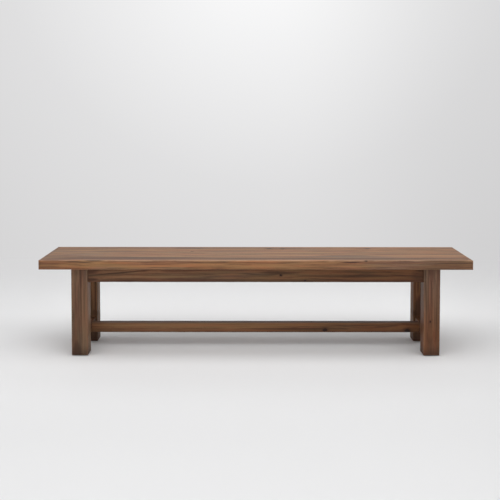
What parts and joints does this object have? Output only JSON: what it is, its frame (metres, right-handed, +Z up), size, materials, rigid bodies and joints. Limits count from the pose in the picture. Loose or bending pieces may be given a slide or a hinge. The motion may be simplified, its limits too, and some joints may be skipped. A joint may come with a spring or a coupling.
{
  "type": "bench",
  "caption": "Long backless wooden bench: a thick plank seat on four square legs, joined by aprons under the seat and an H stretcher near the floor.",
  "frame": {"origin": "centre of the footprint on the floor, level with the undersides of the foot glides", "axes": "+X along the seat towards its right end seen from the front, +Y from the front edge towards the back, +Z up"},
  "size_m": [2, 0.4, 0.456],
  "materials": {
    "seat_wood": "brown stained hardwood under a satin matt oil finish, with wavy streaks, small knots and slightly rubbed arrises",
    "frame_wood": "the same hardwood, a little darker and browner",
    "hidden_wood": "plain hardwood, planed and lightly stained, for the bearers and buttons under the seat",
    "screw_steel": "yellow zinc plated",
    "glide_plastic": "dark brown nylon"
  },
  "bodies": {
    "root": {"seat_board_front": "seat_wood", "seat_board_front_middle": "seat_wood", "seat_board_back_middle": "seat_wood", "seat_board_back": "seat_wood", "leg_front_left": "frame_wood", "leg_front_right": "frame_wood", "leg_back_left": "frame_wood", "leg_back_right": "frame_wood", "apron_front": "frame_wood", "apron_back": "frame_wood", "apron_left": "frame_wood", "apron_right": "frame_wood", "end_stretcher_left": "frame_wood", "end_stretcher_right": "frame_wood", "long_stretcher": "frame_wood", "seat_bearer_1": "hidden_wood", "seat_bearer_2": "hidden_wood", "seat_bearer_3": "hidden_wood", "seat_button_1": "hidden_wood", "seat_button_2": "hidden_wood", "seat_button_3": "hidden_wood", "seat_button_4": "hidden_wood", "seat_button_5": "hidden_wood", "seat_button_6": "hidden_wood", "seat_button_7": "hidden_wood", "seat_button_8": "hidden_wood", "seat_button_9": "hidden_wood", "seat_button_10": "hidden_wood", "button_screw_1": "screw_steel", "button_screw_2": "screw_steel", "button_screw_3": "screw_steel", "button_screw_4": "screw_steel", "button_screw_5": "screw_steel", "button_screw_6": "screw_steel", "button_screw_7": "screw_steel", "button_screw_8": "screw_steel", "button_screw_9": "screw_steel", "button_screw_10": "screw_steel", "bearer_screw_1": "screw_steel", "bearer_screw_2": "screw_steel", "bearer_screw_3": "screw_steel", "bearer_screw_4": "screw_steel", "bearer_screw_5": "screw_steel", "bearer_screw_6": "screw_steel", "glide_front_left": "glide_plastic", "glide_front_right": "glide_plastic", "glide_back_left": "glide_plastic", "glide_back_right": "glide_plastic"}
  },
  "joints": []
}
